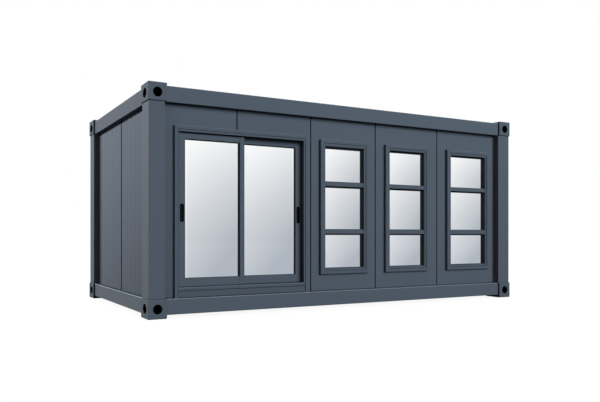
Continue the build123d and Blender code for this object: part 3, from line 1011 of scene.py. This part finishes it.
# Widths of the gaskets' lips and of the beads at the heads of the lights: a group of three is one row of
# lights, from the left window to the right one, and the first group is the upper row.
# The dark lips are painted shade under the heads and along the right sides of the lights.
head_shade_lips = np.array([(0.043, 0.03, 0.027), (0.027, 0.024, 0.021), (0.022, 0.025, 0.026)])
head_beads = np.array([(0.01, 0.001, 0.001), (0.005, 0.001, 0.001), (0.003, 0.007, 0.008)])
left_lip, right_shade_lips, inside_lip = 0.02, (0.038, 0.03, 0.022), 0.009
outer_reach, inner_reach = trim_lip + 0.003 - pane_low.y, 0.012
sill_depths = pane_low.y + np.array([0.0, -0.012, -0.012, 0.0])
sill_rises = np.array([0.0, 0.0, 0.009, 0.007])
bead_depths = (pane_low.y - 0.044, pane_low.y)
bar_gap_wide = 0.006
bar_gap_depths = (trim_lip - 0.0008, trim_lip + 0.0005)
linings, glazing_beads, bar_gaps = [], [], []
for (left, right), lips, beads, right_lip in zip(columns, head_shade_lips.T, head_beads.T, right_shade_lips):
    for (head, foot), lip, bead in zip(rows, lips, beads):
        corners = (Vector((left, 0.0, foot)), Vector((right, 0.0, head)))
        linings.append(pane_gasket(*corners, outer_reach, pane_low.y, left_lip, right_lip, lip))
        linings.append(pane_gasket(*corners, inner_reach, pane_high.y, inside_lip, inside_lip, inside_lip))
        glazing_beads.append(drawn(0, (left, right), sill_depths, foot + sill_rises))
        glazing_beads.append(strip((left, right), bead_depths, (head - bead, head)))
    for upper, lower in zip(rows, rows[1:]):
        bar_gaps.append(strip((right - bar_gap_wide, right), bar_gap_depths, (lower[0], upper[1])))
skin("window_gaskets", linings, gasket_and_shade, looped=True)
skin("glazing_beads", glazing_beads, coated)
skin("bar_gaps", bar_gaps, seal_and_shade_rubber)
# Black beads in each window moulding's step are painted shade.
window_shade_beads = [step_shade_bead(*box, window_band, left=0.004, others=0.004, below=True) for box in window_boxes]
skin("window_shade_beads", window_shade_beads, seal_and_shade_rubber, looped=True)

# Studio
# A white floor and sky, a broad lamp before the cabin to the right for its front, two behind it for its
# ends and back, one above, and a camera with a risen lens.

floor_reach = 60.0
shadow_share = 0.08
bounce_share = 0.06
sky_light = 0.15
sky_tint = (1.0, 0.94, 0.87, 1.0)
white = (1.0, 1.0, 1.0, 1.0)


def seen_directly(finish):
    """1 for rays that the camera or a reflection sends out, and 0 for light that falls on things."""
    rays = finish.node("LightPath", {}, {})
    sight = finish.math("MAXIMUM", rays, rays.output("Is Glossy Ray"))
    return finish.math("MAXIMUM", sight, rays.output("Is Transmission Ray"))


def studio_floor():
    """White to the eye with a faint share of real shading, and dimmer for light that bounces."""
    finish = Finish(bpy.data.materials.new("studio_floor"))
    glow = finish.node("Emission", {}, {"Color": white})
    matte = finish.node("BsdfDiffuse", {}, {"Color": scaled(white, 0.9)})
    dim = finish.node("BsdfDiffuse", {}, {"Color": scaled(white, bounce_share)})
    sight = finish.node("MixShader", {}, {0: shadow_share, 1: glow, 2: matte})
    shader = finish.node("MixShader", {}, {0: seen_directly(finish), 1: dim, 2: sight})
    finish.node("OutputMaterial", {}, {"Surface": shader})
    return finish


floor_mesh = bpy.data.meshes.new("floor")
corners = np.array([(-1, -1, 0), (1, -1, 0), (1, 1, 0), (-1, 1, 0)]) * floor_reach
floor_mesh.from_pydata(corners.tolist(), [], [(0, 1, 2, 3)])
floor_mesh.materials.append(studio_floor().block)
floor = bpy.data.objects.new("floor", floor_mesh)
bpy.context.scene.collection.objects.link(floor)

sky = Finish(bpy.data.worlds.new("sky"))
bright = sky.node("Background", {}, {"Color": white, "Strength": 1.0})
soft = sky.node("Background", {}, {"Color": sky_tint, "Strength": sky_light})
sky_shader = sky.node("MixShader", {}, {0: seen_directly(sky), 1: soft, 2: bright})
sky.node("OutputWorld", {}, {"Surface": sky_shader})
bpy.context.scene.world = sky.block


def lamp(name, towards, strength, spread):
    """A distant soft lamp in a given direction from the cabin, which isn't itself seen in the glass."""
    data = bpy.data.lights.new(name, "SUN")
    data.energy = strength
    data.angle = math.radians(spread)
    made = bpy.data.objects.new(name, data)
    x, y, z = towards
    made.rotation_euler = (math.atan2(math.hypot(x, y), z), 0.0, math.atan2(x, -y))
    made.visible_glossy = False
    bpy.context.scene.collection.objects.link(made)


lamp("front_lamp", (0.30, -0.87, 0.37), strength=3.14, spread=38)
lamp("end_lamp", (-0.85, 0.35, 0.38), strength=3.75, spread=12)
lamp("top_lamp", (0.0, 0.0, 1.0), strength=2.0, spread=20)
lamp("rear_lamp", (0.62, 0.75, 0.22), strength=2.4, spread=30)

camera_data = bpy.data.cameras.new("camera")
camera_data.sensor_width = 36.0
camera_data.lens = 36.686
camera_data.shift_x = 0.1067
camera_data.shift_y = 0.0563
camera = bpy.data.objects.new("camera", camera_data)
camera.location = (-5.2732, -8.3443, 0.9970)
camera.rotation_euler = (math.radians(90.0), 0.0, math.radians(-26.341))
bpy.context.scene.collection.objects.link(camera)
bpy.context.scene.camera = camera
bpy.context.scene.view_settings.view_transform = "Standard"
